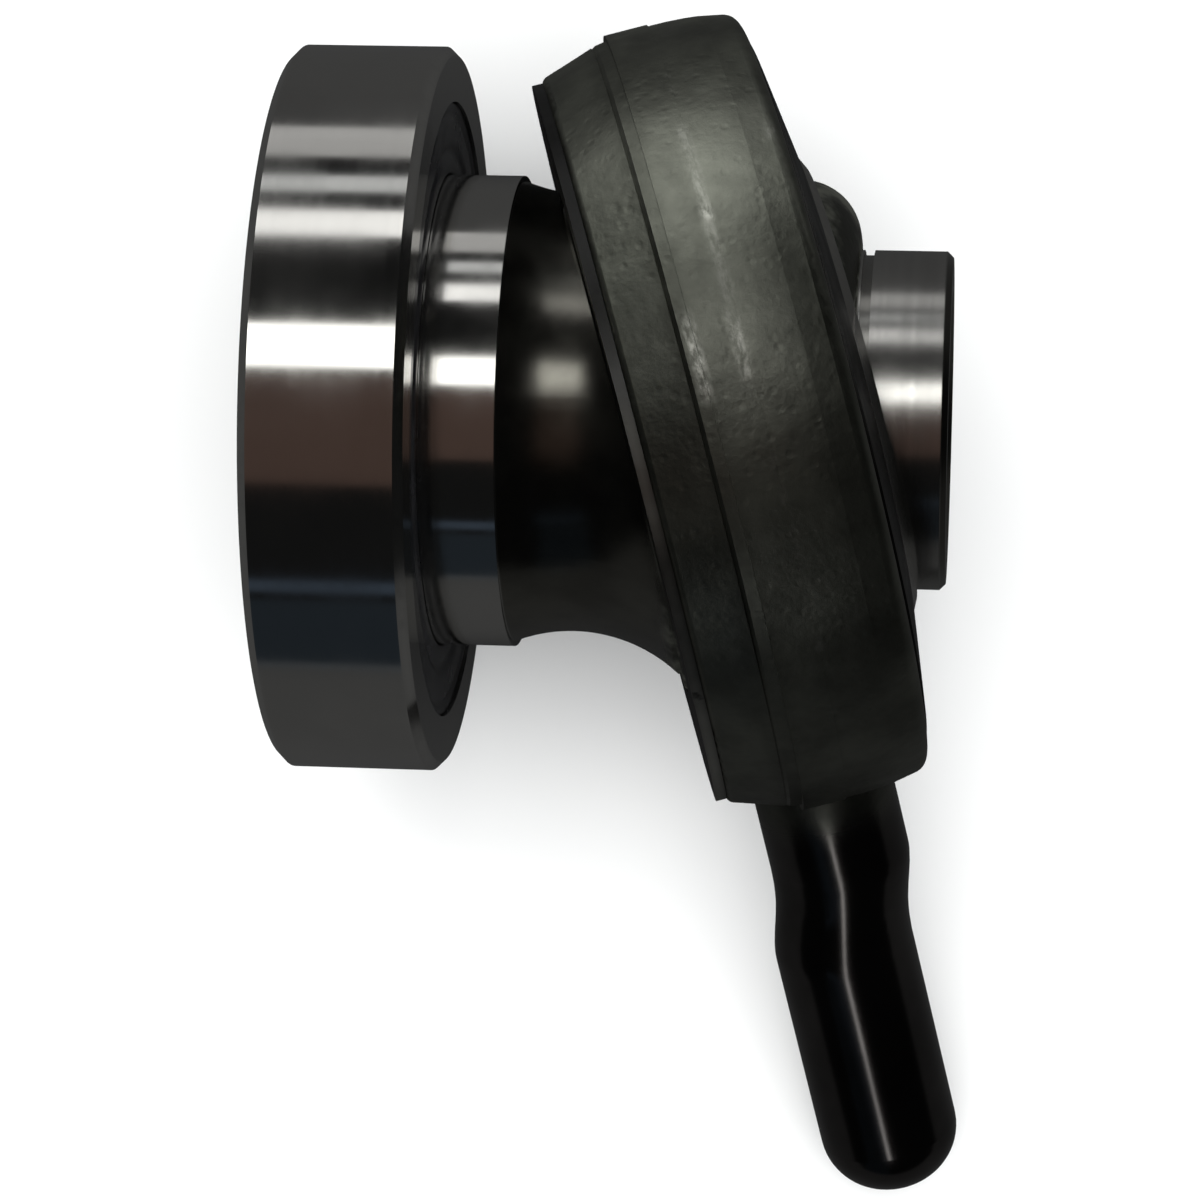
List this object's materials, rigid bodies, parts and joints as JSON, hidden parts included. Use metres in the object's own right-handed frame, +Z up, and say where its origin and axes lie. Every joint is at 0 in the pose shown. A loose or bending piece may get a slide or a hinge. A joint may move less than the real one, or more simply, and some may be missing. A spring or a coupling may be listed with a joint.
{
  "type": "wobble bearing drive unit",
  "caption": "Wobble drive of a rotary hammer: a sealed ball bearing carries a hub whose slanted ball race swings a forged ring with a drive finger.",
  "frame": {"origin": "wobble centre on the shaft axis, where the slanted race's axis crosses it", "axes": "+X along the shaft from the support bearing to the free journal; +Z up while the unit lies on its rims and finger, which points to -Y and down"},
  "size_m": [0.0397, 0.07, 0.0474],
  "materials": {
    "bearing_steel": "ground and polished bearing steel",
    "hub_steel": "ground journal and neck, turned waist",
    "forged_steel": "black oxide on a forging, ground on the finger",
    "seal_rubber": "smooth black nitrile",
    "pressed_steel": "pressed sheet",
    "shield_steel": "dark pressed sheet",
    "ball_steel": "lapped",
    "cage_polyamide": "moulded"
  },
  "bodies": {
    "support_ring": {"support_outer_ring": "bearing_steel", "support_seal_left": "seal_rubber", "support_seal_right": "seal_rubber", "seal_insert_left": "pressed_steel", "seal_insert_right": "pressed_steel"},
    "hub": {"hub": "hub_steel"},
    "support_cage": {"support_cage_left": "pressed_steel", "support_cage_right": "pressed_steel", "support_cage_rivets": "pressed_steel", "support_ball_1": "ball_steel", "support_ball_2": "ball_steel", "support_ball_3": "ball_steel", "support_ball_4": "ball_steel", "support_ball_5": "ball_steel", "support_ball_6": "ball_steel", "support_ball_7": "ball_steel", "support_ball_8": "ball_steel", "support_ball_9": "ball_steel"},
    "wobble_cage": {"wobble_cage": "cage_polyamide", "wobble_ball_1": "ball_steel", "wobble_ball_2": "ball_steel", "wobble_ball_3": "ball_steel", "wobble_ball_4": "ball_steel", "wobble_ball_5": "ball_steel", "wobble_ball_6": "ball_steel", "wobble_ball_7": "ball_steel", "wobble_ball_8": "ball_steel", "wobble_ball_9": "ball_steel"},
    "wobble_ring": {"wobble_ring": "forged_steel", "left_shield": "shield_steel", "right_shield": "shield_steel"}
  },
  "joints": [
    {"name": "hub_spin", "type": "hinge", "parent": "support_ring", "child": "hub", "pos_m": [-0.021, 0, 0], "axis": [1, 0, 0], "continuous": true},
    {"name": "support_cage_spin", "type": "hinge", "parent": "support_ring", "child": "support_cage", "pos_m": [-0.021, 0, 0], "axis": [1, 0, 0], "continuous": true},
    {"name": "wobble_cage_spin", "type": "hinge", "parent": "hub", "child": "wobble_cage", "pos_m": [0, 0, 0], "axis": [0.9573, 0.2755, -0.0874], "continuous": true},
    {"name": "ring_wobble", "type": "hinge", "parent": "hub", "child": "wobble_ring", "pos_m": [0, 0, 0], "axis": [0.9573, 0.2755, -0.0874], "continuous": true}
  ],
  "couplings": [
    {"joint": "support_cage_spin", "follows": "hub_spin", "ratio": 0.4118},
    {"joint": "wobble_cage_spin", "follows": "hub_spin", "ratio": -0.6069},
    {"joint": "ring_wobble", "follows": "hub_spin", "ratio": -1}
  ]
}
